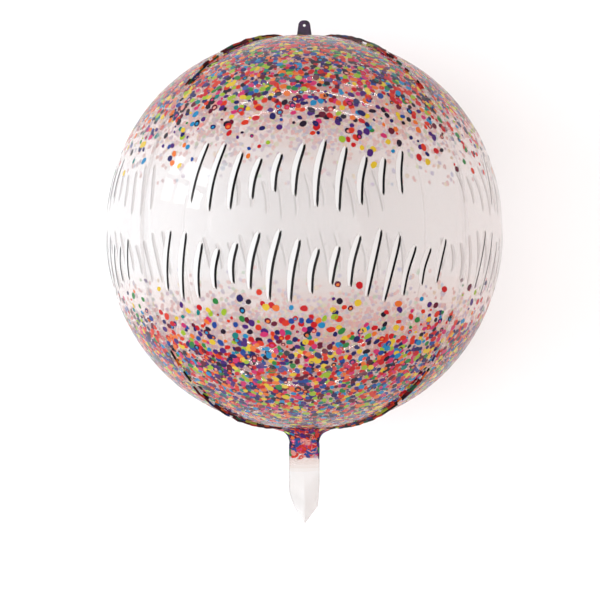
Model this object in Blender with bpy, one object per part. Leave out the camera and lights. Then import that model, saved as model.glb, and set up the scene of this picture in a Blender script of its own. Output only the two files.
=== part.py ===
"""Sphere foil balloon, lying on its back.

A clear film ball is welded from four equal panels. Their ends are welded flat into a
punched hanging tab at one pole and a filling tail at the other. The ball's axis lies
along Y, with the tab at +Y and the tail at -Y, and the front panel faces +Z. The origin
is the centre of the small flat spot on the back panel. Lengths are in metres.
"""

import math

import bmesh
import bpy
from mathutils import Vector

# The ball
BALL_DIAMETER = 0.400
SHOULDER_SWELL = 0.010            # tab half, midway to its pole: how much it stands out from a sphere
TAB_POLE_FLATTENING = 0.006       # how far each pole sits in, as a share of the radius
TAIL_POLE_FLATTENING = 0.020
POLE_FLATTENING_SPREAD = math.radians(22.0)
FLAT_SPOT_RADIUS = 0.028

# The panels and the welds between them
PANEL_GAP = 0.0003                # touching pieces keep this gap
WELD_WIDTH = 0.0036               # how far a weld stands out from the ball
WELD_PLY = 0.0006                 # each panel's half of the weld
WELD_FADE = math.radians(16.0)    # near the tab a weld narrows over this angle
WELD_END_WIDTH = 0.0004

# The hanging tab
TAB_LENGTH = 0.0200
TAB_ROOT_WIDTH = 0.0150
TAB_TOP_WIDTH = 0.0115
TAB_TOP_RADIUS = 0.0042
TAB_FILLET = 0.0030
TAB_THICKNESS = 0.0015
TAB_HOLE_DIAMETER = 0.0028
TAB_HOLE_FROM_TOP = 0.0054
TAB_SEAT_RADIUS = 0.0100          # the panels' points end at this radius under the tab

# The filling tail
TAIL_LENGTH = 0.1050
TAIL_WIDTH = 0.0315
TAIL_THICKNESS = 0.0015
TAIL_SEAT_RADIUS = 0.0300         # the panels' points end at this radius under the tail
TAIL_ROOT_OVERHANG = 0.0060       # the tail's root spreads this far past its seat, across the width
TAIL_ROOT_WEB = 0.0060            # length of the root's full width before its fillet
TAIL_ROOT_LENGTH = 0.0200
TAIL_FLAT_LENGTH = 0.0260         # straight printed neck, where a ribbon is tied
TAIL_SAG = 0.0060                 # how far the end droops
TAIL_CREASE_HEIGHT = 0.0045
TAIL_CREASE_SHIFT = 0.0003        # the crease lies this far right of the middle
TAIL_LEFT_SLANT_LENGTH = 0.0330   # the left edge draws in over this length
TAIL_LEFT_SLANT = 0.0110
TAIL_RIGHT_SLANT = 0.0015
TAIL_LEFT_CUT = 0.0040            # the two ends of the slanted cut, back from the tip
TAIL_RIGHT_CUT = 0.0145

# How finely round shapes are divided
PANEL_ROWS = 40
PANEL_COLUMNS = 13
TAIL_HALF_COLUMNS = 6
TAIL_FILLET_STEPS = 8
TAIL_STRIP_STEPS = 7
TAB_ARC_STEPS = 6
TAB_HOLE_SEGMENTS = 16

BALL_RADIUS = BALL_DIAMETER / 2
BALL_CENTRE = Vector((0.0, 0.0, math.sqrt(BALL_RADIUS ** 2 - FLAT_SPOT_RADIUS ** 2)))
SEAM_OFFSET = PANEL_GAP / 2
PANEL_HALF_ANGLE = math.radians(45.0)

# Each panel's name and the direction that it faces, turned from +Z towards +X
PANELS = (
    ("front_panel", 0.0),
    ("right_panel", math.radians(90.0)),
    ("back_panel", math.radians(180.0)),
    ("left_panel", math.radians(270.0)),
)

FILM_COLOUR = (0.86, 0.84, 0.83, 0.35)
TAB_COLOUR = (0.06, 0.03, 0.07, 1.0)
TAIL_COLOUR = (0.80, 0.78, 0.78, 0.60)


def clear_scene():
    """Remove the objects that a new scene starts with."""
    for old in list(bpy.data.objects):
        bpy.data.objects.remove(old, do_unlink=True)


def make_material(name, colour, roughness):
    """Return a plain coloured plastic film."""
    material = bpy.data.materials.new(name)
    material.use_nodes = True
    material.diffuse_color = colour
    shader = material.node_tree.nodes["Principled BSDF"]
    shader.inputs["Base Color"].default_value = colour[:3] + (1.0,)
    shader.inputs["Alpha"].default_value = colour[3]
    shader.inputs["Roughness"].default_value = roughness
    shader.inputs["Metallic"].default_value = 0.0
    return material


def add_object(name, bm, material, location, turn=0.0):
    """Turn a bmesh into an object, smooth over its round parts."""
    bmesh.ops.recalc_face_normals(bm, faces=bm.faces)
    mesh = bpy.data.meshes.new(name)
    bm.to_mesh(mesh)
    bm.free()
    mesh.materials.append(material)
    mesh.shade_smooth()
    mesh.set_sharp_from_angle(angle=math.radians(35.0))
    obj = bpy.data.objects.new(name, mesh)
    obj.location = location
    obj.rotation_euler = (0.0, turn, 0.0)
    bpy.context.collection.objects.link(obj)
    return obj


def film_radius(polar):
    """Distance of the film from the ball's centre, at an angle from the tab's pole."""
    swell = SHOULDER_SWELL * math.sin(2 * polar) ** 2 if polar < math.pi / 2 else 0.0
    tab_dip = TAB_POLE_FLATTENING * math.exp(-((polar / POLE_FLATTENING_SPREAD) ** 2))
    from_tail = math.pi - polar
    tail_dip = TAIL_POLE_FLATTENING * math.exp(-((from_tail / POLE_FLATTENING_SPREAD) ** 2))
    return BALL_RADIUS * (1.0 + swell - tab_dip - tail_dip)


def seat_angle(seat_radius, from_pole):
    """Polar angle at which the film is seat_radius from the axis, near the named pole."""
    low, high = 0.0, math.pi / 4
    for _ in range(40):
        middle = (low + high) / 2
        polar = middle if from_pole == "tab" else math.pi - middle
        if film_radius(polar) * math.sin(middle) < seat_radius:
            low = middle
        else:
            high = middle
    return low if from_pole == "tab" else math.pi - low


TAB_SEAT_ANGLE = seat_angle(TAB_SEAT_RADIUS, "tab")
TAIL_SEAT_ANGLE = seat_angle(TAIL_SEAT_RADIUS, "tail")
TAB_SEAT_Y = film_radius(TAB_SEAT_ANGLE) * math.cos(TAB_SEAT_ANGLE)
TAIL_SEAT_Y = film_radius(TAIL_SEAT_ANGLE) * math.cos(TAIL_SEAT_ANGLE)


def weld_width(polar):
    """Width of the weld, which narrows smoothly as it nears the tab."""
    share = min(max((polar - TAB_SEAT_ANGLE) / WELD_FADE, 0.0), 1.0)
    eased = share * share * (3.0 - 2.0 * share)
    return WELD_END_WIDTH + (WELD_WIDTH - WELD_END_WIDTH) * eased


def panel_row(polar):
    """Points across one panel, from its left weld's outer edge to its right one's."""
    radius = film_radius(polar)
    outer = radius + weld_width(polar)
    film_y = radius * math.cos(polar)
    weld_y = min(max(outer * math.cos(polar), TAIL_SEAT_Y), TAB_SEAT_Y)
    film_rho = radius * math.sin(polar)
    weld_rho = outer * math.sin(polar)

    def at(rho, y, side, seam_distance):
        angle = side * (PANEL_HALF_ANGLE - math.asin(seam_distance / rho))
        return Vector((rho * math.sin(angle), y, rho * math.cos(angle)))

    inner_face = SEAM_OFFSET + WELD_PLY
    film_half = PANEL_HALF_ANGLE - math.asin(inner_face / film_rho)
    row = [at(weld_rho, weld_y, -1, SEAM_OFFSET), at(weld_rho, weld_y, -1, inner_face)]
    for column in range(PANEL_COLUMNS + 1):
        angle = film_half * (2.0 * column / PANEL_COLUMNS - 1.0)
        row.append(Vector((film_rho * math.sin(angle), film_y, film_rho * math.cos(angle))))
    row += [at(weld_rho, weld_y, 1, inner_face), at(weld_rho, weld_y, 1, SEAM_OFFSET)]
    return row


def build_panel(name, facing, material):
    """One quarter of the sealed ball, with its own half of the weld on both sides."""
    bm = bmesh.new()
    rows = []
    for step in range(PANEL_ROWS + 1):
        polar = TAB_SEAT_ANGLE + (TAIL_SEAT_ANGLE - TAB_SEAT_ANGLE) * step / PANEL_ROWS
        rows.append([bm.verts.new(point) for point in panel_row(polar)])
    inner_edge = SEAM_OFFSET * math.sqrt(2.0)
    tab_end = bm.verts.new((0.0, TAB_SEAT_Y, inner_edge))
    tail_end = bm.verts.new((0.0, TAIL_SEAT_Y, inner_edge))

    for upper, lower in zip(rows, rows[1:]):
        for column in range(len(upper) - 1):
            bm.faces.new((upper[column], upper[column + 1], lower[column + 1], lower[column]))
    bm.faces.new([tab_end] + rows[0])
    bm.faces.new([tail_end] + rows[-1])
    for edge in (0, -1):
        bm.faces.new([tab_end] + [row[edge] for row in rows] + [tail_end])

    if name == "back_panel":
        cut_flat_spot(bm)
    return add_object(name, bm, material, BALL_CENTRE, facing)


def cut_flat_spot(bm):
    """Slice off the outermost part of a panel and close the cut with one flat face."""
    everything = bm.verts[:] + bm.edges[:] + bm.faces[:]
    bmesh.ops.bisect_plane(bm, geom=everything, plane_co=(0.0, 0.0, BALL_CENTRE.z),
                           plane_no=(0.0, 0.0, 1.0), clear_outer=True)
    rim = [edge for edge in bm.edges if edge.is_boundary]
    bmesh.ops.contextual_create(bm, geom=rim)


def tab_outline():
    """Outline of the tab from its root's left end, over the top, to its root's right end."""
    root_y = TAB_SEAT_Y + PANEL_GAP
    top_y = root_y + TAB_LENGTH
    half_root = TAB_ROOT_WIDTH / 2
    half_top = TAB_TOP_WIDTH / 2
    right = []
    for step in range(TAB_ARC_STEPS + 1):
        turn = math.pi / 2 * step / TAB_ARC_STEPS
        right.append((half_top - TAB_TOP_RADIUS * (1.0 - math.sin(turn)),
                      top_y - TAB_TOP_RADIUS * (1.0 - math.cos(turn))))
    for step in range(TAB_ARC_STEPS + 1):
        turn = math.pi / 2 * step / TAB_ARC_STEPS
        right.append((half_root + TAB_FILLET * (1.0 - math.cos(turn)),
                      root_y + TAB_FILLET * (1.0 - math.sin(turn))))
    left = [(-x, y) for x, y in reversed(right)]
    return left + right


def build_tab(material):
    """The flat punched tab, standing on the panels' points."""
    bm = bmesh.new()
    outline = [bm.verts.new((x, y, -TAB_THICKNESS / 2)) for x, y in tab_outline()]
    face = bm.faces.new(outline)
    grown = bmesh.ops.extrude_face_region(bm, geom=[face])["geom"]
    raised = [item for item in grown if isinstance(item, bmesh.types.BMVert)]
    bmesh.ops.translate(bm, verts=raised, vec=(0.0, 0.0, TAB_THICKNESS))
    tab = add_object("hanging_tab", bm, material, BALL_CENTRE)

    punch = bmesh.new()
    bmesh.ops.create_cone(punch, cap_ends=True, segments=TAB_HOLE_SEGMENTS,
                          radius1=TAB_HOLE_DIAMETER / 2, radius2=TAB_HOLE_DIAMETER / 2,
                          depth=3.0 * TAB_THICKNESS)
    hole_y = TAB_SEAT_Y + PANEL_GAP + TAB_LENGTH - TAB_HOLE_FROM_TOP
    cutter = add_object("tab_hole_cutter", punch, material,
                        BALL_CENTRE + Vector((0.0, hole_y, 0.0)))
    cutter.hide_render = True
    cutter.display_type = "WIRE"
    hole = tab.modifiers.new("hole", "BOOLEAN")
    hole.operation = "DIFFERENCE"
    hole.solver = "EXACT"
    hole.object = cutter
    return tab


def fillet(distance, length, wide, narrow):
    """Half-width of a concave fillet that goes from wide to narrow over a length."""
    share = min(max(distance / length, 0.0), 1.0)
    return narrow + (wide - narrow) * (1.0 - math.sin(math.acos(1.0 - share)))


def tail_section(distance):
    """Left edge, crease and right edge of the tail at a distance from its root, and its half depth."""
    half_wide = fillet(distance - TAIL_ROOT_WEB, TAIL_ROOT_LENGTH - TAIL_ROOT_WEB,
                       TAIL_SEAT_RADIUS + TAIL_ROOT_OVERHANG, TAIL_WIDTH / 2)
    half_deep = fillet(distance, TAIL_ROOT_LENGTH, TAIL_SEAT_RADIUS, TAIL_THICKNESS / 2)
    flat_end = TAIL_ROOT_LENGTH + TAIL_FLAT_LENGTH
    loose = max(distance - flat_end, 0.0) / (TAIL_LENGTH - flat_end)
    sag = -TAIL_SAG * loose ** 2
    crease = TAIL_CREASE_HEIGHT * loose ** 2
    slant_start = TAIL_LENGTH - TAIL_LEFT_SLANT_LENGTH
    slanting = max(distance - slant_start, 0.0) / TAIL_LEFT_SLANT_LENGTH
    left_x = -half_wide + TAIL_LEFT_SLANT * slanting
    right_x = half_wide - TAIL_RIGHT_SLANT * slanting
    root_y = TAIL_SEAT_Y - PANEL_GAP
    left = Vector((left_x, root_y - distance + TAIL_LEFT_CUT * loose, sag - crease))
    middle = Vector((TAIL_CREASE_SHIFT, root_y - distance, sag + crease))
    right = Vector((right_x, root_y - distance + TAIL_RIGHT_CUT * loose, sag - crease))
    return left, middle, right, half_deep


def tail_ring(distance):
    """Points round the tail: its upper side from left to right, then its under side back."""
    left, middle, right, half_deep = tail_section(distance)
    edge_depth = TAIL_THICKNESS / 2
    upper = []
    under = []
    for column in range(-TAIL_HALF_COLUMNS, TAIL_HALF_COLUMNS + 1):
        turn = math.pi / 2 * column / TAIL_HALF_COLUMNS
        side = left if column < 0 else right
        centre = middle.lerp(side, abs(math.sin(turn)))
        depth = Vector((0.0, 0.0, edge_depth + (half_deep - edge_depth) * math.cos(turn)))
        upper.append(centre + depth)
        under.append(centre - depth)
    return upper + under[::-1]


def build_tail(material):
    """The tail: a flared root on the panels' points, a flat neck and a creased, slanted end."""
    distances = [TAIL_ROOT_LENGTH * (1.0 - math.cos(math.pi / 2 * step / TAIL_FILLET_STEPS))
                 for step in range(TAIL_FILLET_STEPS + 1)]
    flat_end = TAIL_ROOT_LENGTH + TAIL_FLAT_LENGTH
    distances += [flat_end + (TAIL_LENGTH - flat_end) * step / TAIL_STRIP_STEPS
                  for step in range(TAIL_STRIP_STEPS + 1)]
    bm = bmesh.new()
    rings = [[bm.verts.new(point) for point in tail_ring(distance)] for distance in distances]
    count = len(rings[0])
    for upper, lower in zip(rings, rings[1:]):
        for index in range(count):
            following = (index + 1) % count
            bm.faces.new((upper[index], upper[following], lower[following], lower[index]))
    for ring in (rings[0], rings[-1]):
        for index in range(count // 2 - 1):
            bm.faces.new((ring[index], ring[index + 1], ring[-2 - index], ring[-1 - index]))
    return add_object("filling_tail", bm, material, BALL_CENTRE)


def build_balloon():
    """Build every piece of the balloon."""
    clear_scene()
    film = make_material("clear_film", FILM_COLOUR, 0.12)
    for name, facing in PANELS:
        build_panel(name, facing, film)
    build_tab(make_material("printed_tab_film", TAB_COLOUR, 0.25))
    build_tail(make_material("tail_film", TAIL_COLOUR, 0.20))


build_balloon()
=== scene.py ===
import math
import random

import bpy
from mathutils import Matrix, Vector


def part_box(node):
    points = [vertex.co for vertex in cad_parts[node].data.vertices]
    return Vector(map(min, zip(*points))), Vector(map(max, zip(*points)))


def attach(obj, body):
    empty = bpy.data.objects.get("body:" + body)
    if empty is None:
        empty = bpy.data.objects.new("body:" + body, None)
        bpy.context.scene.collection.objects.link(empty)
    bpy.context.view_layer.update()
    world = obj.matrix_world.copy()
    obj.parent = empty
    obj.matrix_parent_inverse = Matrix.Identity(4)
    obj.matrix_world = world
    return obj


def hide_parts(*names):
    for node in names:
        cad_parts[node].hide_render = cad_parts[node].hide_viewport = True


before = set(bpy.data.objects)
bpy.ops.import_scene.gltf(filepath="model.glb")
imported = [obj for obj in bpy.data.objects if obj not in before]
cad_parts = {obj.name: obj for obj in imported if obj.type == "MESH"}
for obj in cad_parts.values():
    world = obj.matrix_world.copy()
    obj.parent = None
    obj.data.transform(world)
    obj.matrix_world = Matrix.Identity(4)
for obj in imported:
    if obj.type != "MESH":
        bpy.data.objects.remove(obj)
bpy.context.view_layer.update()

# The ball. Four equal panels of clear nylon and polyethylene film are welded edge to edge, and the
# gas swells them into one round ball. Each welded edge stands out as a narrow fin, and the film
# puckers beside it, most of all near the two poles where the panels run together.
BALL_RADIUS = 0.200
SHOULDER_SWELL = 0.010
TAB_POLE_FLATTENING = 0.006
TAIL_POLE_FLATTENING = 0.020
POLE_FLATTENING_SPREAD = math.radians(22.0)
FILM_THICKNESS = 0.00022
FILM_LIFT = 0.0003                 # the flat spot on the back lies this far above the floor
WELD_WIDTH = 0.0036
WELD_END_WIDTH = 0.0014
WELD_FADE = math.radians(12.0)
WELD_SCALLOP = 0.00018
SEAM_HALF_GAP = 0.00004
TAB_SEAT_RADIUS = 0.0100
TAB_FILM_END = 0.0035              # the panels' points run on under the tab to this radius
TAIL_FILM_END = 0.0275
SEAM_PUCKER_DEPTH = 0.00050
SEAM_PUCKER_REACH = 0.016
SEAM_PUCKER_LENGTHS = (0.0190, 0.0113, 0.0307)
SEAM_PUCKER_SHIFT = 7.0            # radians, so that neighbouring welds don't pucker in step
SEAM_PUCKER_SPREAD = 900.0         # radians a metre, so that the waves don't start together
POLE_PLEAT_DEPTH = 0.00070
POLE_PLEAT_COUNT = 14
POLE_PLEAT_WANDER = 1.7
POLE_PLEAT_REACH = 0.020
GATHER_DEPTH = 0.00042
GATHER_LENGTHS = (0.0093, 0.0142)  # waves of slack film across the panel near the poles
GATHER_REACH = (0.095, 0.115)      # how far they reach from the tab's pole and from the tail's
GATHER_BENDS = ((1.9, 5, 0.4), (1.1, 11, 1.9))  # radians, times round the ball, and start
PANEL_ROWS = 250
PANEL_COLUMNS = 64
PANEL_HALF_ANGLE = math.radians(45.0)
PANELS = (("front", 0.0), ("right", 90.0), ("back", 180.0), ("left", 270.0))
HALVINGS = 40                      # steps of the search for an angle
SHARP_ANGLE = math.radians(40.0)
FILM_IOR = 1.55
FILM_SPECULAR = 0.9
FILM_GLOSS = (0.03, 0.09)          # roughness, which wavers between these
FILM_HAZE_SIZE = 0.030
FILM_STRETCH_SIZE = 0.012
FILM_STRETCH_DEPTH = 0.0004

tab_low, tab_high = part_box("hanging_tab")
TAB_SEAT_Y = tab_low.y
TAIL_SEAT_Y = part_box("filling_tail")[1].y
BALL_CENTRE = Vector((0.0, 0.0, (tab_low.z + tab_high.z) / 2))


def linear(hex_colour, alpha=1.0):
    """Turn an sRGB hex colour into the linear values that a shader takes."""
    channels = [int(hex_colour[place:place + 2], 16) / 255 for place in (1, 3, 5)]
    bent = [c / 12.92 if c <= 0.04045 else ((c + 0.055) / 1.055) ** 2.4 for c in channels]
    return (*bent, alpha)


def add_node(material, kind, settings=None, inputs=None, links=None):
    """Add a shader node with its properties, its input values and links from other outputs."""
    node = material.node_tree.nodes.new(kind)
    for name, value in (settings or {}).items():
        setattr(node, name, value)
    for name, value in (inputs or {}).items():
        node.inputs[name].default_value = value
    for name, output in (links or {}).items():
        material.node_tree.links.new(output, node.inputs[name])
    return node


def start_material(name):
    """Return a material without nodes."""
    material = bpy.data.materials.new(name)
    material.use_nodes = True
    material.node_tree.nodes.clear()
    return material


def clear_film(name, colour, alpha, crinkle):
    """Blown clear film. It is thin and glossy, slightly milky where light rakes it, and its gloss
    wavers, because the film was stretched unevenly as it filled."""
    material = start_material(name)
    position = add_node(material, "ShaderNodeTexCoord").outputs["Object"]
    haze = add_node(material, "ShaderNodeTexNoise",
                    inputs={"Scale": 1 / FILM_HAZE_SIZE, "Detail": 3.0},
                    links={"Vector": position})
    gloss = add_node(material, "ShaderNodeMapRange",
                     inputs={"To Min": FILM_GLOSS[0], "To Max": FILM_GLOSS[1]},
                     links={"Value": haze.outputs["Fac"]})
    stretch = add_node(material, "ShaderNodeTexNoise",
                       inputs={"Scale": 1 / FILM_STRETCH_SIZE, "Detail": 2.0},
                       links={"Vector": position})
    bump = add_node(material, "ShaderNodeBump",
                    inputs={"Strength": crinkle, "Distance": FILM_STRETCH_DEPTH},
                    links={"Height": stretch.outputs["Fac"]})
    shader = add_node(material, "ShaderNodeBsdfPrincipled",
                      inputs={"Base Color": linear(colour), "Alpha": alpha, "IOR": FILM_IOR,
                              "Specular IOR Level": FILM_SPECULAR, "Metallic": 0.0},
                      links={"Roughness": gloss.outputs["Result"],
                             "Normal": bump.outputs["Normal"]})
    add_node(material, "ShaderNodeOutputMaterial", links={"Surface": shader.outputs["BSDF"]})
    return material


def film_radius(polar):
    """Distance of the smooth film from the ball's centre, at an angle from the tab's pole."""
    swell = SHOULDER_SWELL * math.sin(2 * polar) ** 2 if polar < math.pi / 2 else 0.0
    tab_dip = TAB_POLE_FLATTENING * math.exp(-((polar / POLE_FLATTENING_SPREAD) ** 2))
    from_tail = math.pi - polar
    tail_dip = TAIL_POLE_FLATTENING * math.exp(-((from_tail / POLE_FLATTENING_SPREAD) ** 2))
    return BALL_RADIUS * (1.0 + swell - tab_dip - tail_dip)


def pucker(polar, bearing):
    """How far the film is drawn in by the puckers beside the welds and the pleats at the poles."""
    off_middle = (bearing + PANEL_HALF_ANGLE) % (2 * PANEL_HALF_ANGLE) - PANEL_HALF_ANGLE
    girth = BALL_RADIUS * math.sin(polar)
    to_weld = (PANEL_HALF_ANGLE - abs(off_middle)) * girth
    along = BALL_RADIUS * polar
    shift = SEAM_PUCKER_SHIFT * round(bearing / PANEL_HALF_ANGLE)
    wave = sum(math.sin(2 * math.pi * along / length + shift + length * SEAM_PUCKER_SPREAD)
               for length in SEAM_PUCKER_LENGTHS) / len(SEAM_PUCKER_LENGTHS)
    depth = SEAM_PUCKER_DEPTH * (0.5 + 0.5 * wave) * math.exp(-to_weld / SEAM_PUCKER_REACH)
    from_pole = min(polar, math.pi - polar) * BALL_RADIUS
    wander = POLE_PLEAT_WANDER * math.sin(3 * bearing)
    pleat = 0.5 + 0.5 * math.cos(POLE_PLEAT_COUNT * bearing + wander)
    depth += POLE_PLEAT_DEPTH * pleat * math.exp(-((from_pole / POLE_PLEAT_REACH) ** 2))
    reach = GATHER_REACH[0 if polar < math.pi / 2 else 1]
    bend = sum(size * math.sin(times * bearing + start) for size, times, start in GATHER_BENDS)
    slack = sum(math.sin(2 * math.pi * along / length + bend * (1 + index))
                for index, length in enumerate(GATHER_LENGTHS)) / len(GATHER_LENGTHS)
    depth += GATHER_DEPTH * (1.0 + slack) * math.exp(-((from_pole / reach) ** 2))
    return depth


def film_point(polar, bearing, height=0.0):
    """A point on the film or at a height above it. Bearings turn from the front to the right."""
    radius = film_radius(polar) - pucker(polar, bearing) + height
    girth = radius * math.sin(polar)
    point = BALL_CENTRE + Vector((girth * math.sin(bearing), radius * math.cos(polar),
                                  girth * math.cos(bearing)))
    point.z = max(point.z, FILM_LIFT - height)
    return point


def polar_at(girth, near_tab):
    """Angle from the tab's pole at which the film is a given distance from the ball's axis."""
    low, high = 0.0, math.pi / 4
    for _ in range(HALVINGS):
        middle = (low + high) / 2
        if film_radius(middle if near_tab else math.pi - middle) * math.sin(middle) < girth:
            low = middle
        else:
            high = middle
    return low if near_tab else math.pi - low


TAB_SEAT_ANGLE = polar_at(TAB_SEAT_RADIUS, True)


def weld_width(polar):
    """Width of the welded fin, which narrows towards the tab and is faintly scalloped."""
    share = min(max((polar - TAB_SEAT_ANGLE) / WELD_FADE, 0.0), 1.0)
    eased = share * share * (3.0 - 2.0 * share)
    scallop = WELD_SCALLOP * math.sin(2 * math.pi * polar * BALL_RADIUS / SEAM_PUCKER_LENGTHS[0])
    return WELD_END_WIDTH + (WELD_WIDTH + scallop - WELD_END_WIDTH) * eased


def new_piece(name, points, faces, materials, inks=None, smooth=True):
    """Make a mesh object, with one material for each face where several are given."""
    mesh = bpy.data.meshes.new(name)
    mesh.from_pydata(points, [], faces)
    for material in materials:
        mesh.materials.append(material)
    if inks:
        mesh.polygons.foreach_set("material_index", inks)
    mesh.update()
    piece = bpy.data.objects.new(name, mesh)
    bpy.context.collection.objects.link(piece)
    if smooth:
        mesh.shade_smooth()
        mesh.set_sharp_from_angle(angle=SHARP_ANGLE)
    return piece


def thicken(piece, thickness, offset):
    """Give an open sheet its thickness, so that it is one closed skin."""
    wall = piece.modifiers.new("film thickness", "SOLIDIFY")
    wall.thickness = thickness
    wall.offset = offset
    wall.use_even_offset = False


# The film itself is clear. Where the print is dense, specks of ink too fine to count tint it, in
# steps from the clear middle to the poles. On the welds it is clearer, pressed flat by a hot bar.
FILM_TINTS = ("#ebe9e7", "#e9e3df", "#e7dbd6", "#e5d3cd", "#e3cbc3", "#dfc2b9", "#dab9af",
              "#d3ada2")
FILM_ALPHA = 0.28
FILM_CRINKLE = 0.25
WELD_TINT = "#d6d0ce"
WELD_ALPHA = 0.12
WELD_CRINKLE = 0.15
TINT_TOP = (math.radians(15.0), math.radians(40.0))
TINT_BOTTOM = (math.radians(-9.0), math.radians(-33.0))


def tint_step(latitude):
    """Which of the film's tints is on the ball at a latitude."""
    start, full = TINT_TOP if latitude > 0 else TINT_BOTTOM
    share = min(max((latitude - start) / (full - start), 0.0), 1.0)
    return round(share * (len(FILM_TINTS) - 1))


ball_films = [clear_film("clear_nylon_film_" + str(step + 1), tint, FILM_ALPHA, FILM_CRINKLE)
              for step, tint in enumerate(FILM_TINTS)]
weld_film = clear_film("welded_clear_film", WELD_TINT, WELD_ALPHA, WELD_CRINKLE)

for panel, facing in PANELS:
    middle = math.radians(facing)
    polar_start = polar_at(TAB_FILM_END, True)
    polar_end = polar_at(TAIL_FILM_END, False)
    points = []
    for row in range(PANEL_ROWS + 1):
        polar = polar_start + (polar_end - polar_start) * row / PANEL_ROWS
        girth = film_radius(polar) * math.sin(polar)
        seam_angle = math.asin((SEAM_HALF_GAP + FILM_THICKNESS) / girth)
        half = PANEL_HALF_ANGLE - seam_angle
        fin = weld_width(polar)
        line = [film_point(polar, middle - half, fin), film_point(polar, middle - half, fin / 2)]
        for column in range(PANEL_COLUMNS + 1):
            line.append(film_point(polar, middle + half * (2 * column / PANEL_COLUMNS - 1)))
        line += [film_point(polar, middle + half, fin / 2), film_point(polar, middle + half, fin)]
        points += line
    across = PANEL_COLUMNS + 5
    faces = []
    skins = []
    for row in range(PANEL_ROWS):
        polar = polar_start + (polar_end - polar_start) * (row + 0.5) / PANEL_ROWS
        tint = tint_step(math.pi / 2 - polar)
        for column in range(across - 1):
            corner = row * across + column
            faces.append((corner, corner + across, corner + across + 1, corner + 1))
            on_weld = column < 2 or column >= across - 3
            skins.append(len(ball_films) if on_weld else tint)
    film = new_piece(panel + "_film", points, faces, ball_films + [weld_film], skins)
    thicken(film, FILM_THICKNESS, -1.0)
    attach(film, "root")
    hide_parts(panel + "_panel")

# The brush strokes in the clear middle of each panel. They are gravure ink on the film's outer
# side, printed before the panels were cut: white with a black edge at the right and below. The two
# rows of slanted, tapered strokes stand where the printed greeting is, and are not letters.
STROKE_WIDTH = 0.0040
STROKE_TIP = 0.14                  # share of the width that is left at a stroke's two ends
STROKE_BELLY = 0.72                # under 1, a stroke is widest above its middle
SHADOW_RIGHT = 0.0021
SHADOW_DOWN = 0.0010
STROKE_STATIONS = 16
INK_LOW = -0.00003
WHITE_LOW = INK_LOW * 1.5
SHADOW_HIGH = 0.00010
STROKE_HIGH = 0.00018
STROKE_LEAN = 0.17                 # how far a stroke leans to the right, as a share of its height
STROKE_LEAN_WOBBLE = 0.0012
STROKE_BOW = (0.0014, 0.0032)
STROKE_HEIGHT = 0.045
STROKE_SWELL = 0.30                # the strokes grow and shrink along a row in a wave
STROKE_RISE = 0.10                 # and rise and fall with it, by this share of their height
# Each row: its middle latitude, its two ends as bearings, how many strokes and waves it has
STROKE_ROWS = ((14.0, -30.5, 27.5, 11, 2.0), (-7.8, -39.0, 38.5, 16, 3.0))
BLACK, WHITE, BLACK_PAINTED_BACKLIGHT, WHITE_PAINTED_BACKLIGHT = range(4)
INK_IOR = 1.5
INK_SPECULAR = 0.22
INK_GLOSS = (0.08, 0.18)           # roughness, which wavers between these
INK_GRAIN = 0.0015
INK_GRAIN_DEPTH = 0.0001
INK_GRAIN_STRENGTH = 0.06


def gravure_ink(name, colour):
    """Printed ink, dried to a thin hard layer: even in colour, with a gloss that varies a little.
    The colour is linear."""
    material = start_material(name)
    position = add_node(material, "ShaderNodeTexCoord").outputs["Object"]
    drying = add_node(material, "ShaderNodeTexNoise",
                      inputs={"Scale": 1 / INK_GRAIN, "Detail": 2.0},
                      links={"Vector": position})
    gloss = add_node(material, "ShaderNodeMapRange",
                     inputs={"To Min": INK_GLOSS[0], "To Max": INK_GLOSS[1]},
                     links={"Value": drying.outputs["Fac"]})
    bump = add_node(material, "ShaderNodeBump",
                    inputs={"Strength": INK_GRAIN_STRENGTH, "Distance": INK_GRAIN_DEPTH},
                    links={"Height": drying.outputs["Fac"]})
    shader = add_node(material, "ShaderNodeBsdfPrincipled",
                      inputs={"Base Color": colour, "IOR": INK_IOR,
                              "Specular IOR Level": INK_SPECULAR, "Metallic": 0.0},
                      links={"Roughness": gloss.outputs["Result"],
                             "Normal": bump.outputs["Normal"]})
    add_node(material, "ShaderNodeOutputMaterial", links={"Surface": shader.outputs["BSDF"]})
    return material


# The last two inks go on the strokes' lower faces and are painted light: paler, as if lit through
# from behind.
stroke_inks = [gravure_ink("black_edge_ink", linear("#070505")),
               gravure_ink("white_ink", linear("#d6d4d3")),
               gravure_ink("black_edge_painted_backlight", linear("#8a8583")),
               gravure_ink("white_painted_backlight", linear("#e9e7e6"))]


def on_film(polar, bearing):
    """Return a function that lays offsets in metres, right and up, on the film round a point."""
    girth = BALL_RADIUS * math.sin(polar)

    def place(x, y, height):
        return film_point(polar - y / BALL_RADIUS, bearing + x / girth, height)
    return place


def brush_width(share):
    """Width along a stroke: a rounded start, a full belly and a thin tail."""
    belly = math.sin(math.pi * share ** STROKE_BELLY) ** 0.5
    return STROKE_WIDTH * (STROKE_TIP + (1.0 - STROKE_TIP) * belly)


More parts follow.
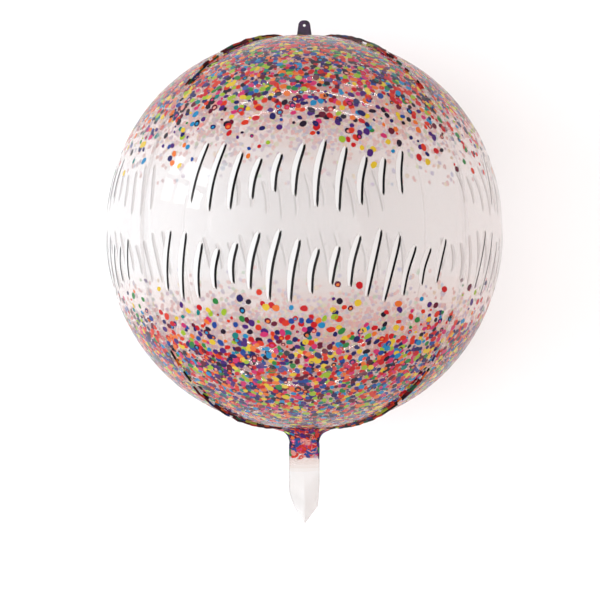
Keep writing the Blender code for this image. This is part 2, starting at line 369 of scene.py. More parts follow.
def brush(print_mesh, place, spine, low, high, ink, painted_backlight_ink):
    """Add a tapered brush stroke as a thin closed strip along its spine. Its lower face, seen
    through the film, takes a paler ink: painted light, standing in for light through the ink."""
    first = len(print_mesh["points"])
    count = len(spine)
    for index, (x, y) in enumerate(spine):
        before = spine[max(index - 1, 0)]
        after = spine[min(index + 1, count - 1)]
        run, rise = after[0] - before[0], after[1] - before[1]
        half = brush_width(index / (count - 1)) / 2 / math.hypot(run, rise)
        left = (x - rise * half, y + run * half)
        right = (x + rise * half, y - run * half)
        print_mesh["points"] += [place(*left, high), place(*right, high),
                                 place(*right, low), place(*left, low)]
    faces = [(first + 3, first + 2, first + 1, first)]
    sides = [ink]
    for index in range(count - 1):
        base = first + 4 * index
        for corner in range(4):
            beside = (corner + 1) % 4
            faces.append((base + corner, base + beside, base + 4 + beside, base + 4 + corner))
            sides.append(painted_backlight_ink if corner == 2 else ink)
    last = first + 4 * (count - 1)
    faces.append((last, last + 1, last + 2, last + 3))
    sides.append(ink)
    print_mesh["faces"] += faces
    print_mesh["inks"] += sides


def start_print():
    """Return empty lists for the points, faces and inks of one piece of print."""
    return {"points": [], "faces": [], "inks": []}


stroke_spines = []                 # each stroke's place on the front panel, and its spine's offsets
rng = random.Random(77)
for latitude, start, end, count, waves in STROKE_ROWS:
    for index in range(count):
        share_along = (index + 0.5) / count
        height = STROKE_HEIGHT * (1.0 + STROKE_SWELL * math.sin(2 * math.pi * waves * share_along))
        rise = STROKE_RISE * STROKE_HEIGHT * math.cos(2 * math.pi * waves * share_along)
        lean = STROKE_LEAN * height + rng.uniform(-STROKE_LEAN_WOBBLE, STROKE_LEAN_WOBBLE)
        bow = -rng.uniform(*STROKE_BOW)
        spine = []
        for station in range(STROKE_STATIONS + 1):
            share = station / STROKE_STATIONS
            spine.append((lean * (0.5 - share) + bow * math.sin(math.pi * share),
                          height * (0.5 - share) + rise))
        bearing = math.radians(start + (end - start) * share_along)
        stroke_spines.append((math.radians(90.0 - latitude), bearing, spine))

for panel, facing in PANELS:
    strokes = start_print()
    for polar, bearing, spine in stroke_spines:
        place = on_film(polar, bearing + math.radians(facing))
        shadow = [(x + SHADOW_RIGHT, y - SHADOW_DOWN) for x, y in spine]
        brush(strokes, place, shadow, INK_LOW, SHADOW_HIGH, BLACK, BLACK_PAINTED_BACKLIGHT)
        brush(strokes, place, spine, WHITE_LOW, STROKE_HIGH, WHITE, WHITE_PAINTED_BACKLIGHT)
    rows = new_piece(panel + "_brush_rows", strokes["points"], strokes["faces"], stroke_inks,
                     strokes["inks"], smooth=False)
    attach(rows, "root")

# The confetti. It is gravure ink, printed on the film's outer side before the panels were cut:
# round dots, mostly 4 to 6 mm across, dense round both poles and scattered towards the middle. The
# ink is opaque and less glossy than the film. Some dots are rings, dark round a paler middle set a
# little off centre, which is partly print and partly a painted highlight. Each chip's lower face
# takes a paler copy of its ink: painted light, as if lit through from behind inside the ball.
INK_COLOURS = (                    # each ink's colour, and its share among the dots
    ("scarlet_ink", "#ab1017", 15), ("vermilion_ink", "#bb2b16", 11), ("orange_ink", "#c96225", 8),
    ("yellow_ink", "#c4a52a", 9), ("lime_ink", "#869f28", 8), ("green_ink", "#276f34", 6),
    ("teal_ink", "#136a67", 4), ("sky_ink", "#1973a0", 6), ("blue_ink", "#19397e", 6),
    ("navy_ink", "#17134d", 10), ("violet_ink", "#3d1961", 8), ("maroon_ink", "#540924", 8),
    ("aubergine_ink", "#19081e", 9), ("pink_ink", "#b3285c", 6), ("blush_ink", "#c88078", 2))
DOT_RADIUS = 0.00255
DOT_SIZES = (0.82, 1.30)
SMALL_SHARE = 0.20
SMALL_SIZES = (0.45, 0.70)
UNEVEN = 0.20
DOT_SIDES = 9
DOT_SPACING = 0.0028               # closest that two dots' middles come
DOT_HIGH = 0.00007
DOT_STAGGER = 0.00010              # overlapping dots lie at heights spread over this
DOT_FROM_STROKE = 0.0058
PRINTED_SHARE = 0.995              # how much of a panel's width takes dots
DOTS_TAB_END = TAB_SEAT_RADIUS * 1.1
DOTS_TAIL_END = TAIL_FILM_END * 1.15
TOP_PRINT = (math.radians(16.0), math.radians(43.0))
BOTTOM_PRINT = (math.radians(-12.0), math.radians(-34.0))
SPARSE_SHARE = 0.034
FADE_POWER = 2.7
CANDIDATES = 19500
# Ring dots: a dark ring round a paler middle set off centre towards the tail, partly print and
# partly a painted highlight.
RING_SHARE = 0.10
RING_UNEVEN = 0.10
RING_MIDDLE_SIZE = 0.52            # as a share of the ring's own size
RING_HIGHLIGHT_SHIFT = 0.15
RING_MIDDLE_LIFT = 0.00002
# The paler inks on the dots' lower faces are painted light: each ink is lifted and paled so the
# back print seems lit through.
PAINTED_BACKLIGHT_LIGHTEST = 0.96
PAINTED_BACKLIGHT_LIFT = 0.78
PAINTED_BACKLIGHT_PALE = 0.20
PAINTED_BACKLIGHT_MILK = linear("#ffe1da")


def painted_backlight(colour):
    """The linear colour of an ink seen from within the ball, with the light through it painted in.
    """
    ink = linear(colour)[:3]
    lift = (PAINTED_BACKLIGHT_LIGHTEST / max(ink)) ** PAINTED_BACKLIGHT_LIFT
    lit = [channel * lift for channel in ink]
    return (*[c + (milk - c) * PAINTED_BACKLIGHT_PALE for c, milk in zip(lit, PAINTED_BACKLIGHT_MILK)], 1.0)


inks = [gravure_ink(name, linear(colour)) for name, colour, _ in INK_COLOURS]
inks += [gravure_ink(name + "_painted_backlight", painted_backlight(colour))
         for name, colour, _ in INK_COLOURS]
ink_index = {name: index for index, (name, _, _) in enumerate(INK_COLOURS)}
ink_weights = [weight for _, _, weight in INK_COLOURS]
ring_edges = [ink_index[name] for name in ("aubergine_ink", "maroon_ink", "navy_ink",
                                           "scarlet_ink")]
ring_print_and_highlight_middles = [ink_index[name] for name in ("blush_ink", "pink_ink", "sky_ink", "orange_ink")]


def stamp(print_mesh, place, outline, low, high, ink):
    """Add a thin closed chip of ink. Its outline is laid on the film by place(x, y, height)."""
    first = len(print_mesh["points"])
    sides = len(outline)
    print_mesh["points"] += [place(x, y, high) for x, y in outline]
    print_mesh["points"] += [place(x, y, low) for x, y in outline]
    faces = [tuple(range(first, first + sides)),
             tuple(range(first + 2 * sides - 1, first + sides - 1, -1))]
    for side in range(sides):
        following = (side + 1) % sides
        faces.append((first + side, first + sides + side, first + sides + following,
                      first + following))
    print_mesh["faces"] += faces
    # The lower face takes the ink's paler copy: painted light, as if lit through from behind.
    print_mesh["inks"] += [ink, ink + len(INK_COLOURS)] + [ink] * sides


def blob(rng, radius, uneven):
    """Outline of one printed dot, nearly round, with its size and edge slightly uneven."""
    turn = rng.uniform(0.0, 2 * math.pi)
    squeeze = 1.0 + rng.uniform(-uneven, uneven)
    outline = []
    for side in range(DOT_SIDES):
        angle = 2 * math.pi * side / DOT_SIDES
        reach = radius * (1.0 + rng.uniform(-uneven, uneven) * 0.5)
        x = reach * math.cos(angle) * squeeze
        y = reach * math.sin(angle) / squeeze
        outline.append((x * math.cos(turn) - y * math.sin(turn),
                        x * math.sin(turn) + y * math.cos(turn)))
    return outline


def print_density(latitude):
    """Share of the densest print at a latitude on the ball, from 0 to 1."""
    start, full = TOP_PRINT if latitude > 0 else BOTTOM_PRINT
    share = (latitude - start) / (full - start)
    if share <= 0.0:
        return 0.0
    share = min(share, 1.0)
    return SPARSE_SHARE + (1.0 - SPARSE_SHARE) * share ** FADE_POWER


stroke_points = [on_film(polar, bearing)(x, y, 0.0)
                 for polar, bearing, spine in stroke_spines for x, y in spine[::2]]


def scatter(rng):
    """Pick the dots' places on a front panel: by chance, thinning out towards the clear middle."""
    taken = {}
    places = []
    top = math.cos(polar_at(DOTS_TAB_END, True))
    bottom = math.cos(polar_at(DOTS_TAIL_END, False))
    for _ in range(CANDIDATES):
        polar = math.acos(rng.uniform(bottom, top))
        bearing = rng.uniform(-1.0, 1.0) * PANEL_HALF_ANGLE * PRINTED_SHARE
        if rng.random() > print_density(math.pi / 2 - polar):
            continue
        point = film_point(polar, bearing)
        key = tuple(int(math.floor(value / DOT_SPACING)) for value in point)
        near = [other for dx in (-1, 0, 1) for dy in (-1, 0, 1) for dz in (-1, 0, 1)
                for other in taken.get((key[0] + dx, key[1] + dy, key[2] + dz), ())]
        if any((point - other).length < DOT_SPACING for other in near):
            continue
        if any((point - stroke).length < DOT_FROM_STROKE for stroke in stroke_points):
            continue
        taken.setdefault(key, []).append(point)
        places.append((polar, bearing))
    return places


for panel, facing in PANELS:
    rng = random.Random(4100 + int(facing))
    dots = start_print()
    for polar, offset in scatter(rng):
        bearing = offset + math.radians(facing)
        radius = DOT_RADIUS * rng.uniform(*DOT_SIZES)
        if rng.random() < SMALL_SHARE:
            radius *= rng.uniform(*SMALL_SIZES)
        ink = rng.choices(range(len(INK_COLOURS)), ink_weights)[0]
        lift = rng.uniform(0.0, DOT_STAGGER)
        place = on_film(polar, bearing)
        high = DOT_HIGH + lift
        if rng.random() < RING_SHARE:
            stamp(dots, place, blob(rng, radius, RING_UNEVEN), INK_LOW, high,
                  rng.choice(ring_edges))
            # The paler middle, set off centre, is partly print and partly a painted highlight.
            middle = on_film(polar + radius * RING_HIGHLIGHT_SHIFT / BALL_RADIUS, bearing)
            stamp(dots, middle, blob(rng, radius * RING_MIDDLE_SIZE, RING_UNEVEN), INK_LOW,
                  high + RING_MIDDLE_LIFT, rng.choice(ring_print_and_highlight_middles))
        else:
            stamp(dots, place, blob(rng, radius, UNEVEN), INK_LOW, high, ink)
    confetti = new_piece(panel + "_confetti", dots["points"], dots["faces"], inks, dots["inks"],
                         smooth=False)
    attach(confetti, "root")

# The print on the welds. Near the poles the confetti of two panels lies doubled on each welded fin,
# so the fins look dark and mottled there. Further out they are clear.
WELD_PRINT_HALF = 0.00042
WELD_PRINT_LOW = 0.0002
WELD_PRINT_LANES = 2
WELD_PRINT_STATIONS = 3
TAB_WELD_PRINT_START = TAB_SEAT_ANGLE + math.radians(0.5)
TAIL_WELD_PRINT_START = math.pi - polar_at(0.031, False)
TAB_WELD_PRINT_END = math.radians(50.0)
TAIL_WELD_PRINT_END = math.radians(57.0)
MOTTLE_LENGTHS = (0.0035, 0.0100)
MOTTLE_GAPS = 0.04                 # share of the mottles that are left out near the poles
MOTTLE_FADE_GAPS = 0.75            # and how much larger that share grows where the print fades
MOTTLE_FADE_START = 0.55
MOTTLE_FADE_LENGTH = 0.45
# Each ink's colour, and its share among the mottles
WELD_INKS = (("oxblood_ink", "#4a1219", 7), ("soot_ink", "#1d1316", 6), ("brick_ink", "#a32a1c", 4),
             ("rust_ink", "#b8551f", 3), ("olive_ink", "#8a8a2a", 2), ("ink_blue", "#1f2a5c", 3),
             ("bottle_ink", "#1f4a35", 2))
weld_inks = [gravure_ink(name, linear(colour)) for name, colour, _ in WELD_INKS]
weld_ink_weights = [weight for _, _, weight in WELD_INKS]


def weld_segment(print_mesh, weld, polar_from, polar_to, share_low, share_high, ink):
    """Add one mottle of print that wraps a stretch of a welded fin."""
    first = len(print_mesh["points"])
    for station in range(WELD_PRINT_STATIONS + 1):
        polar = polar_from + (polar_to - polar_from) * station / WELD_PRINT_STATIONS
        fin = weld_width(polar)
        turn = WELD_PRINT_HALF / (BALL_RADIUS * math.sin(polar))
        low = WELD_PRINT_LOW + fin * share_low
        high = WELD_PRINT_LOW + fin * share_high
        print_mesh["points"] += [film_point(polar, weld + way * turn, height)
                                 for way, height in ((-1, high), (1, high), (1, low), (-1, low))]
    faces = [(first, first + 1, first + 2, first + 3)]
    for station in range(WELD_PRINT_STATIONS):
        base = first + 4 * station
        for corner in range(4):
            beside = (corner + 1) % 4
            faces.append((base + corner, base + 4 + corner, base + 4 + beside, base + beside))
    last = first + 4 * WELD_PRINT_STATIONS
    faces.append((last + 3, last + 2, last + 1, last))
    print_mesh["faces"] += faces
    print_mesh["inks"] += [ink] * len(faces)


for index in range(4):
    rng = random.Random(900 + index)
    weld = math.radians(45.0 + 90.0 * index)
    mottle = start_print()
    for near_tab, start, reach in ((True, TAB_WELD_PRINT_START, TAB_WELD_PRINT_END),
                                   (False, TAIL_WELD_PRINT_START, TAIL_WELD_PRINT_END)):
        for lane in range(WELD_PRINT_LANES):
            from_pole = start
            while from_pole < reach:
                length = rng.uniform(*MOTTLE_LENGTHS) / BALL_RADIUS
                through = (from_pole - start) / (reach - start)
                fading = max(through - MOTTLE_FADE_START, 0.0)
                if rng.random() > MOTTLE_GAPS + MOTTLE_FADE_GAPS * fading / MOTTLE_FADE_LENGTH:
                    ends = sorted(angle if near_tab else math.pi - angle
                                  for angle in (from_pole, from_pole + length))
                    weld_segment(mottle, weld, ends[0], ends[1], lane / WELD_PRINT_LANES,
                                 (lane + 1) / WELD_PRINT_LANES,
                                 rng.choices(range(len(weld_inks)), weld_ink_weights)[0])
                from_pole += length
    weld_print = new_piece("weld_print_" + str(index + 1), mottle["points"], mottle["faces"],
                           weld_inks, mottle["inks"], smooth=False)
    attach(weld_print, "root")

# The hanging tab. At the top pole all four panels are pressed together and welded into one small
# flat tab, printed dark purple, with a hole punched through it for a thread.
TAB_LENGTH = 0.0200
TAB_ROOT_WIDTH = 0.0156
TAB_TOP_WIDTH = 0.0124
TAB_TOP_RADIUS = 0.0054
TAB_FILLET = 0.0030
TAB_EDGE_HALF = 0.00040
TAB_MIDDLE_HALF = 0.00072
TAB_HOLE_RADIUS = 0.0014
TAB_HOLE_FROM_TOP = 0.0054
TAB_TUCK = 0.0006                  # how far the tab's flat root reaches into the ball
TAB_BULGE_REACH = 1.15
TAB_RIB_DEPTH = 0.00010
TAB_RIB_WIDTH = 0.0034
TAB_RINGS = 7
TAB_ARC_STEPS = 8
TAB_SIDE_STEPS = 7
TAB_SPECULAR = 0.35
TAB_GLOSS = (0.22, 0.42)
TAB_BLEND = (0.40, 0.65)
TAB_INK_STRENGTH = 0.35
TAB_INK_DEPTH = 0.0003


def printed_film(name, colour, second_colour, grain):
    """Film printed dark all over, welded with a hot bar: a satin gloss with faint uneven ink."""
    material = start_material(name)
    position = add_node(material, "ShaderNodeTexCoord").outputs["Object"]
    cloud = add_node(material, "ShaderNodeTexNoise", inputs={"Scale": 1 / grain, "Detail": 3.0},
                     links={"Vector": position})
    blend = add_node(material, "ShaderNodeMapRange",
                     inputs={"From Min": TAB_BLEND[0], "From Max": TAB_BLEND[1]},
                     links={"Value": cloud.outputs["Fac"]})
    tint = add_node(material, "ShaderNodeMix", settings={"data_type": "RGBA"},
                    inputs={"A": linear(colour), "B": linear(second_colour)},
                    links={"Factor": blend.outputs["Result"]})
    gloss = add_node(material, "ShaderNodeMapRange",
                     inputs={"To Min": TAB_GLOSS[0], "To Max": TAB_GLOSS[1]},
                     links={"Value": cloud.outputs["Fac"]})
    bump = add_node(material, "ShaderNodeBump",
                    inputs={"Strength": TAB_INK_STRENGTH, "Distance": TAB_INK_DEPTH},
                    links={"Height": cloud.outputs["Fac"]})
    shader = add_node(material, "ShaderNodeBsdfPrincipled",
                      inputs={"IOR": INK_IOR, "Specular IOR Level": TAB_SPECULAR,
                              "Metallic": 0.0},
                      links={"Base Color": tint.outputs["Result"],
                             "Roughness": gloss.outputs["Result"],
                             "Normal": bump.outputs["Normal"]})
    add_node(material, "ShaderNodeOutputMaterial", links={"Surface": shader.outputs["BSDF"]})
    return material


def tab_outline():
    """Half of the tab's outline, from the middle of its top to the middle of its root."""
    top = TAB_SEAT_Y + TAB_LENGTH
    half_top = TAB_TOP_WIDTH / 2
    half_root = TAB_ROOT_WIDTH / 2
    outline = [(0.0, top)]
    for step in range(TAB_ARC_STEPS + 1):
        turn = math.pi / 2 * step / TAB_ARC_STEPS
        outline.append((half_top - TAB_TOP_RADIUS * (1.0 - math.sin(turn)),
                        top - TAB_TOP_RADIUS * (1.0 - math.cos(turn))))
    side_top = outline[-1]
    side_end = (half_root, TAB_SEAT_Y + TAB_FILLET)
    for step in range(1, TAB_SIDE_STEPS + 1):
        share = step / TAB_SIDE_STEPS
        outline.append((side_top[0] + (side_end[0] - side_top[0]) * share,
                        side_top[1] + (side_end[1] - side_top[1]) * share))
    for step in range(1, TAB_ARC_STEPS + 1):
        turn = math.pi / 2 * step / TAB_ARC_STEPS
        outline.append((half_root + TAB_FILLET * (1.0 - math.cos(turn)),
                        TAB_SEAT_Y + TAB_FILLET * (1.0 - math.sin(turn))))
    outline.append((0.0, TAB_SEAT_Y - TAB_TUCK))
    return outline


right_half = tab_outline()
outline = right_half + [(-x, y) for x, y in right_half[-2:0:-1]]
hole_y = TAB_SEAT_Y + TAB_LENGTH - TAB_HOLE_FROM_TOP
points = []
for side in (1, -1):
    for ring in range(TAB_RINGS + 1):
        share = ring / TAB_RINGS
        swell = min(share * TAB_BULGE_REACH, 1.0)
        bulge = math.sin(math.pi * swell) ** 0.5 if 0 < share else 0.0
        half = TAB_EDGE_HALF + (TAB_MIDDLE_HALF - TAB_EDGE_HALF) * bulge
        for x, y in outline:
            angle = math.atan2(y - hole_y, x)
            inner_x = TAB_HOLE_RADIUS * math.cos(angle)
            inner_y = hole_y + TAB_HOLE_RADIUS * math.sin(angle)
            rib = TAB_RIB_DEPTH * math.sin(2 * math.pi * x / TAB_RIB_WIDTH)
            rib = rib * share * (1.0 - share) * 4.0
            points.append((inner_x + (x - inner_x) * share, inner_y + (y - inner_y) * share,
                           BALL_CENTRE.z + side * (half + rib)))
around = len(outline)
faces = []
for ring in range(TAB_RINGS):
    for step in range(around):
        following = (step + 1) % around
        a, b = ring * around + step, ring * around + following
        faces.append((a, a + around, b + around, b))
        other = (TAB_RINGS + 1) * around
        faces.append((other + a, other + b, other + b + around, other + a + around))
for ring, flip in ((0, False), (TAB_RINGS, True)):
    for step in range(around):
        following = (step + 1) % around
        a, b = ring * around + step, ring * around + following
        other = (TAB_RINGS + 1) * around
        faces.append((a, other + a, other + b, b) if flip else (a, b, other + b, other + a))

# The tab's root, where the panels' points gather out of the ball
ROOT_RINGS = 10
ROOT_SIDES = 48
ROOT_LENGTH = 0.0042
ROOT_SINK = 0.0010
ROOT_WIDE_FLARE = 0.0026
ROOT_DEEP_FLARE = 0.0075
ROOT_FLARE_POWER = 2.2
ROOT_INSET = 0.0002
ROOT_PROUD = 0.0001
ROOT_PLEATS = 9
ROOT_PLEAT_DEPTH = 0.05
root_first = len(points)
for ring in range(ROOT_RINGS + 1):
    share = ring / ROOT_RINGS
    spread = (1.0 - share) ** ROOT_FLARE_POWER
    for side in range(ROOT_SIDES):
        angle = 2 * math.pi * side / ROOT_SIDES
        pleat = 1.0 + ROOT_PLEAT_DEPTH * math.sin(ROOT_PLEATS * angle) * spread
        wide = (TAB_ROOT_WIDTH / 2 - ROOT_INSET + ROOT_WIDE_FLARE * spread) * pleat
        deep = (TAB_MIDDLE_HALF + ROOT_PROUD + ROOT_DEEP_FLARE * spread) * pleat
        points.append((wide * math.sin(angle),
                       TAB_SEAT_Y - ROOT_SINK + ROOT_LENGTH * share ** 1.3,
                       BALL_CENTRE.z + deep * math.cos(angle)))
for ring in range(ROOT_RINGS):
    for side in range(ROOT_SIDES):
        following = (side + 1) % ROOT_SIDES
        base = root_first + ring * ROOT_SIDES
        a, b = base + side, base + following
        faces.append((a, b, b + ROOT_SIDES, a + ROOT_SIDES))
faces.append(tuple(root_first + side for side in range(ROOT_SIDES - 1, -1, -1)))
faces.append(tuple(root_first + ROOT_RINGS * ROOT_SIDES + side for side in range(ROOT_SIDES)))

purple_film = printed_film("dark_printed_tab_film", "#33143a", "#180c1c", 0.006)
tab = new_piece("hanging_tab_film", points, faces, [purple_film])
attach(tab, "root")
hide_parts("hanging_tab")

# The filling tail. At the bottom pole the panels run together into a flat sleeve through which the
# balloon is filled and sealed. Its root flares into the ball, its neck is printed, and its end is
# clear film in several layers, slit from the web with a slanted cut, with a soft crease down it.
TAIL_LENGTH = 0.1050
TAIL_WIDTH = 0.0315
TAIL_EDGE_HALF = 0.00040
TAIL_SEAT_RADIUS = 0.0300
TAIL_ROOT_OVERHANG = 0.0060
TAIL_ROOT_WEB = 0.0060
TAIL_ROOT_LENGTH = 0.0200
TAIL_FLAT_LENGTH = 0.0260
TAIL_SAG = 0.0060
TAIL_CREASE_HEIGHT = 0.0060
TAIL_CREASE_SHIFT = 0.0003
TAIL_LEFT_SLANT_LENGTH = 0.0330
TAIL_LEFT_SLANT = 0.0110
TAIL_LEFT_BOW = 1.50               # the left side's slanted cut bows outwards
TAIL_RIGHT_SLANT = 0.0015
TAIL_LEFT_CUT = 0.0040
TAIL_RIGHT_CUT = 0.0145
TAIL_ROOT_RUN = 0.0390             # length along the root's curved flare
TAIL_ROOT_ROWS = 44
TAIL_STRIP_ROWS = 70
TAIL_HALF_COLUMNS = 28
TAIL_TINTS = ("#bc998c", "#c2a79b", "#c8b4a9", "#ccbeb5", "#d0c8c2", "#d2cecb")
TAIL_TINT_START = 0.0520           # the print's last faint specks tint the film past its edge
TAIL_TINT_STEP = 0.0036
TAIL_ALPHA = 0.44
TAIL_CRINKLE = 0.30
TAIL_SIDE_WELD = 0.80              # beyond this, across the tail, its side weld begins
TAIL_SIDE_WELD_TINT = "#a9a5a3"
TAIL_SIDE_WELD_ALPHA = 0.50
TAIL_LEAST_HALF = 0.0002
TAIL_PLEAT_DEPTH = 0.00055
TAIL_PLEAT_WIDTH = 0.0052
TAIL_PLEAT_REACH = 0.016
TAIL_RIPPLE = 0.0006
NECK_NOTCH = 0.0006
NECK_NOTCH_PLACE = 0.001
NECK_NOTCH_LENGTH = 0.0016


def fillet(distance, length, wide, narrow):
    """Half-width of a concave fillet that goes from wide to narrow over a length."""
    share = min(max(distance / length, 0.0), 1.0)
    return narrow + (wide - narrow) * (1.0 - math.sin(math.acos(1.0 - share)))


def tail_distance(run):
    """Distance from the seat along the tail's axis, for a length run along its curved skin."""
    if run < TAIL_ROOT_RUN:
        return TAIL_ROOT_LENGTH * (1.0 - math.cos(math.pi / 2 * max(run, 0.0) / TAIL_ROOT_RUN))
    return min(TAIL_ROOT_LENGTH + run - TAIL_ROOT_RUN, TAIL_LENGTH)


def tail_point(run, across, height, side):
    """A point on the tail's upper side (1) or under side (-1). Across runs from -1 to 1."""
    distance = tail_distance(run)
    half_wide = fillet(distance - TAIL_ROOT_WEB, TAIL_ROOT_LENGTH - TAIL_ROOT_WEB,
                       TAIL_SEAT_RADIUS + TAIL_ROOT_OVERHANG, TAIL_WIDTH / 2)
    half_deep = fillet(distance, TAIL_ROOT_LENGTH, TAIL_SEAT_RADIUS, TAIL_EDGE_HALF * 2)
    from_notch = (distance - TAIL_ROOT_LENGTH - NECK_NOTCH_PLACE) / NECK_NOTCH_LENGTH
    half_wide -= NECK_NOTCH * math.exp(-(from_notch ** 2))
    flat_end = TAIL_ROOT_LENGTH + TAIL_FLAT_LENGTH
    loose = max(distance - flat_end, 0.0) / (TAIL_LENGTH - flat_end)
    sag = -TAIL_SAG * loose ** 2
    crease = TAIL_CREASE_HEIGHT * loose ** 1.4
    slanting = max(distance - TAIL_LENGTH + TAIL_LEFT_SLANT_LENGTH, 0.0) / TAIL_LEFT_SLANT_LENGTH
    left = Vector((-half_wide + TAIL_LEFT_SLANT * slanting ** TAIL_LEFT_BOW, TAIL_LEFT_CUT * loose,
                   sag - crease))
    crest = Vector((TAIL_CREASE_SHIFT, 0.0, sag + crease))
    right = Vector((half_wide - TAIL_RIGHT_SLANT * slanting, TAIL_RIGHT_CUT * loose, sag - crease))
    edge = left if across < 0 else right
    spread = abs(math.sin(math.pi / 2 * across))
    centre = crest.lerp(edge, spread)
    depth = TAIL_EDGE_HALF + (half_deep - TAIL_EDGE_HALF) * math.cos(math.pi / 2 * across)
    gathered = math.exp(-(((distance - TAIL_ROOT_LENGTH) / TAIL_PLEAT_REACH) ** 2))
    wander = 1.3 * math.sin(distance * 160.0)
    pleat = math.sin(2 * math.pi * centre.x / TAIL_PLEAT_WIDTH + wander)
    depth += TAIL_PLEAT_DEPTH * pleat * gathered * (1.0 - spread ** 4)
    ripple = TAIL_RIPPLE * math.sin(distance * 140.0 + 3.0 * across) * loose * (1.0 - loose * 0.4)
    rise = side * (max(depth, TAIL_LEAST_HALF) + height)
    return BALL_CENTRE + Vector((centre.x, TAIL_SEAT_Y - distance + centre.y,
                                 centre.z + ripple + rise))


strip_run = TAIL_LENGTH - TAIL_ROOT_LENGTH
tail_runs = [TAIL_ROOT_RUN * row / TAIL_ROOT_ROWS for row in range(TAIL_ROOT_ROWS)]
tail_runs += [TAIL_ROOT_RUN + strip_run * row / TAIL_STRIP_ROWS
              for row in range(TAIL_STRIP_ROWS + 1)]
tail_columns = [column / TAIL_HALF_COLUMNS
                for column in range(-TAIL_HALF_COLUMNS, TAIL_HALF_COLUMNS + 1)]
ring = 2 * len(tail_columns)
points = []
for run in tail_runs:
    points += [tail_point(run, across, 0.0, 1) for across in tail_columns]
    points += [tail_point(run, across, 0.0, -1) for across in reversed(tail_columns)]
faces = []
for row in range(len(tail_runs) - 1):
    for step in range(ring):
        following = (step + 1) % ring
        a, b = row * ring + step, row * ring + following
        faces.append((a, a + ring, b + ring, b))
for row, near_ball in ((0, True), (len(tail_runs) - 1, False)):
    base = row * ring
    for step in range(ring // 2 - 1):
        quad = (base + step, base + step + 1, base + ring - 2 - step, base + ring - 1 - step)
        faces.append(quad if near_ball else quad[::-1])
sleeve_films = [clear_film("layered_tail_film_" + str(step + 1), tint, TAIL_ALPHA, TAIL_CRINKLE)
                for step, tint in enumerate(TAIL_TINTS)]
sleeve_films.append(clear_film("tail_side_weld", TAIL_SIDE_WELD_TINT, TAIL_SIDE_WELD_ALPHA,
                               TAIL_CRINKLE))
skins = []
for run in tail_runs[:-1]:
    step = int(max(run - TAIL_TINT_START, 0.0) / TAIL_TINT_STEP)
    for column in range(ring):
        across = abs(column % len(tail_columns) - TAIL_HALF_COLUMNS) / TAIL_HALF_COLUMNS
        on_weld = across > TAIL_SIDE_WELD
        skins.append(len(TAIL_TINTS) if on_weld else min(step, len(TAIL_TINTS) - 1))
skins += [len(TAIL_TINTS) - 1] * (len(faces) - len(skins))
tail = new_piece("filling_tail_film", points, faces, sleeve_films, skins)
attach(tail, "root")
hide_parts("filling_tail")

# The print on the tail: the same confetti, larger and crowded, on both sides of the root and the
# neck. It ends in a ragged, fading edge above the clear film.
NECK_DOT_RADIUS = 0.0040
NECK_PRINT_END = 0.0580            # along the tail's skin from its seat
NECK_PRINT_FADE = 0.0100
NECK_DOTS = 1100
NECK_CROWDING = 1.30               # over 1, the dots crowd towards the root
NECK_EDGE = 0.62                   # beyond this, across the neck, the inks are darker
NECK_WIDTH_PRINTED = 0.94
NECK_DOT_SIZES = (0.65, 1.15)
NECK_DOT_LOW = 0.00002
NECK_DOT_HIGH = 0.00010
NECK_DOT_STAGGER = 0.00018
NECK_DOT_SHRINK = 0.65             # by how much the dots shrink in the fading edge
ROOT_INKS_END = TAIL_ROOT_RUN * 0.9
ROOT_INKS = ("vermilion_ink", "orange_ink", "maroon_ink", "scarlet_ink", "maroon_ink",
             "violet_ink", "aubergine_ink")
NECK_INKS = ("blue_ink", "violet_ink", "scarlet_ink", "pink_ink", "vermilion_ink",
             "blush_ink", "blue_ink", "blush_ink")
EDGE_INKS = ("navy_ink", "aubergine_ink", "maroon_ink", "violet_ink", "navy_ink", "green_ink")
TAIL_LAST_DOT = 0.985              # no dot reaches further across the tail than this


def on_tail(run, across, side):
    """Return a function that lays offsets in metres, right and up, on the tail round a point."""
    reach = 1.25 * abs(tail_point(run, 0.8, 0.0, side).x)

    def place(x, y, height):
        there = min(max(across + side * x / reach, -TAIL_LAST_DOT), TAIL_LAST_DOT)
        return tail_point(run - y, there, height, side)
    return place


rng = random.Random(31)
neck = start_print()
for _ in range(NECK_DOTS):
    side = rng.choice((1, -1))
    run = NECK_PRINT_END * rng.random() ** NECK_CROWDING
    across = rng.uniform(-NECK_WIDTH_PRINTED, NECK_WIDTH_PRINTED)
    grown = min(run / TAIL_ROOT_RUN, 1.0)
    radius = (DOT_RADIUS + (NECK_DOT_RADIUS - DOT_RADIUS) * grown) * rng.uniform(*NECK_DOT_SIZES)
    if rng.random() > grown:
        ink = rng.choices(range(len(INK_COLOURS)), ink_weights)[0]
    elif abs(across) > NECK_EDGE:
        ink = ink_index[rng.choice(EDGE_INKS)]
    else:
        ink = ink_index[rng.choice(ROOT_INKS if run < ROOT_INKS_END else NECK_INKS)]
    lift = rng.uniform(0.0, NECK_DOT_STAGGER)
    fade = max(run - NECK_PRINT_END + NECK_PRINT_FADE, 0.0) / NECK_PRINT_FADE
    outline = blob(rng, radius * (1.0 - NECK_DOT_SHRINK * fade), UNEVEN)
    if rng.random() < fade:
        continue
    stamp(neck, on_tail(run, across, side), outline, NECK_DOT_LOW, NECK_DOT_HIGH + lift, ink)
neck_print = new_piece("tail_confetti", neck["points"], neck["faces"], inks, neck["inks"],
                       smooth=False)
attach(neck_print, "root")

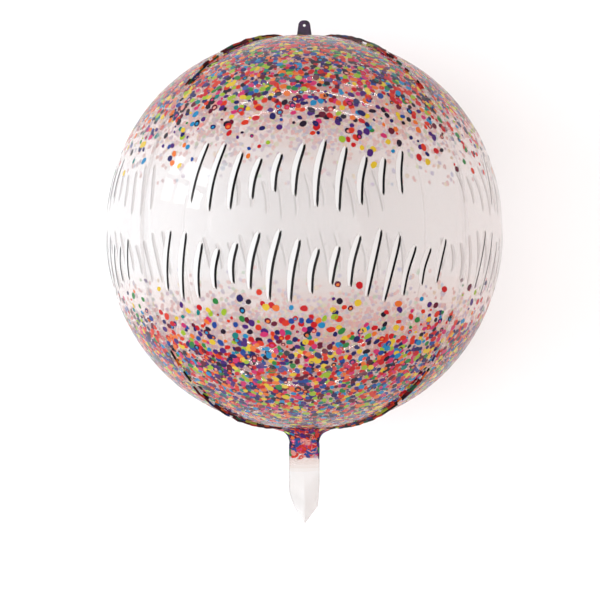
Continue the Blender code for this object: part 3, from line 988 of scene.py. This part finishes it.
# The room: a plain white floor, a window of six panes and a white wall at the left, thin bright
# blind slats beyond the ball's two ends, broad soft lights at the left and above, and a warm fill
# from the right.
FLOOR_SIZE = 12.0
FLOOR_ROUGHNESS = 0.9
WORLD_STRENGTH = 0.74
floor_mesh = bpy.data.meshes.new("floor")
edge = FLOOR_SIZE / 2
floor_mesh.from_pydata([(-edge, -edge, 0), (edge, -edge, 0), (edge, edge, 0), (-edge, edge, 0)],
                       [], [(0, 1, 2, 3)])
floor = bpy.data.objects.new("floor", floor_mesh)
bpy.context.collection.objects.link(floor)
floor_paint = start_material("white_floor")
floor_shader = add_node(floor_paint, "ShaderNodeBsdfPrincipled",
                        inputs={"Base Color": linear("#f7f7f7"), "Roughness": FLOOR_ROUGHNESS})
add_node(floor_paint, "ShaderNodeOutputMaterial",
         links={"Surface": floor_shader.outputs["BSDF"]})
floor_mesh.materials.append(floor_paint)


def area_light(name, location, target, width, height, watts, colour):
    """Add a rectangular light that faces a point and isn't seen by the camera itself."""
    light = bpy.data.lights.new(name, "AREA")
    light.shape = "RECTANGLE"
    light.size = width
    light.size_y = height
    light.energy = watts
    light.color = linear(colour)[:3]
    lamp = bpy.data.objects.new(name, light)
    lamp.location = location
    lamp.rotation_euler = (Vector(target) - Vector(location)).to_track_quat("-Z", "Y").to_euler()
    lamp.visible_camera = False
    bpy.context.collection.objects.link(lamp)
    return lamp


PANE_WIDTH = 0.24
PANE_HEIGHT = 0.22
PANE_BAR = 0.09
PANE_WATTS = 0.85
WINDOW_PLACE = Vector((-1.55, 0.62, 0.80))
WALL_WATTS = 16.0
SLAT_LENGTH = 2.6
SLAT_WIDTH = 0.03
SLAT_WATTS = 4.0
SLAT_DISTANCE = 2.4
SLAT_HEIGHTS = (0.25, 0.70, 1.25)
LEFT_WATTS = 36.0
OVERHEAD_WATTS = 57.0
WARM_WATTS = 9.0
to_ball = BALL_CENTRE - WINDOW_PLACE
window_turn = to_ball.to_track_quat("-Z", "Y")
for column in (-0.5, 0.5):
    for row in (-1, 0, 1):
        offset = Vector((column * (PANE_WIDTH + PANE_BAR), row * (PANE_HEIGHT + PANE_BAR), 0.0))
        pane = WINDOW_PLACE + window_turn @ offset
        lamp = area_light("window_pane", pane, pane + to_ball, PANE_WIDTH, PANE_HEIGHT,
                          PANE_WATTS, "#ffffff")
        lamp.visible_diffuse = False
wall = area_light("white_wall", (-2.6, 0.3, 1.0), BALL_CENTRE, 3.0, 2.4, WALL_WATTS, "#ffffff")
wall.visible_diffuse = False
for side in (1, -1):
    for height in SLAT_HEIGHTS:
        slat = area_light("blind_slat", (0.0, side * SLAT_DISTANCE, height), BALL_CENTRE,
                          SLAT_LENGTH, SLAT_WIDTH, SLAT_WATTS, "#ffffff")
        slat.visible_diffuse = False
left_softbox = area_light("left_softbox", (-2.3, 0.0, 1.35), BALL_CENTRE, 1.8, 1.8, LEFT_WATTS,
                          "#eef5ff")
left_softbox.visible_glossy = False
area_light("overhead_softbox", (-0.4, -0.25, 3.0), BALL_CENTRE, 4.2, 4.2, OVERHEAD_WATTS,
           "#ffffff")
warm_fill = area_light("warm_fill", (2.4, -0.2, 0.9), BALL_CENTRE, 1.2, 1.8, WARM_WATTS,
                       "#ff9468")
warm_fill.visible_glossy = False

world = bpy.data.worlds.new("soft_studio")
world.use_nodes = True
sky = world.node_tree.nodes["Background"]
sky.inputs["Color"].default_value = linear("#ffffff")
sky.inputs["Strength"].default_value = WORLD_STRENGTH
bpy.context.scene.world = world

# The camera looks straight down on the lying balloon, as the photograph shows it upright. The
# distance gives the photograph's perspective, and the shift its framing.
CAMERA_DISTANCE = 0.960
SENSOR_WIDTH = 36.0
PIXELS = 600
FOCAL_PIXELS = 931.9
BALL_PIXEL_X = 304.3
BALL_PIXEL_Y = 232.75
FILM_LAYERS = 64                   # how many layers of film a ray of light may pass
camera_data = bpy.data.cameras.new("camera")
camera_data.sensor_width = SENSOR_WIDTH
camera_data.lens = SENSOR_WIDTH * FOCAL_PIXELS / PIXELS
camera_data.shift_x = (PIXELS / 2 - BALL_PIXEL_X) / PIXELS
camera_data.shift_y = (BALL_PIXEL_Y - PIXELS / 2) / PIXELS
camera = bpy.data.objects.new("camera", camera_data)
camera.location = BALL_CENTRE + Vector((0.0, 0.0, CAMERA_DISTANCE))
bpy.context.collection.objects.link(camera)

scene = bpy.context.scene
scene.camera = camera
scene.view_settings.view_transform = "Standard"
scene.cycles.transparent_max_bounces = FILM_LAYERS
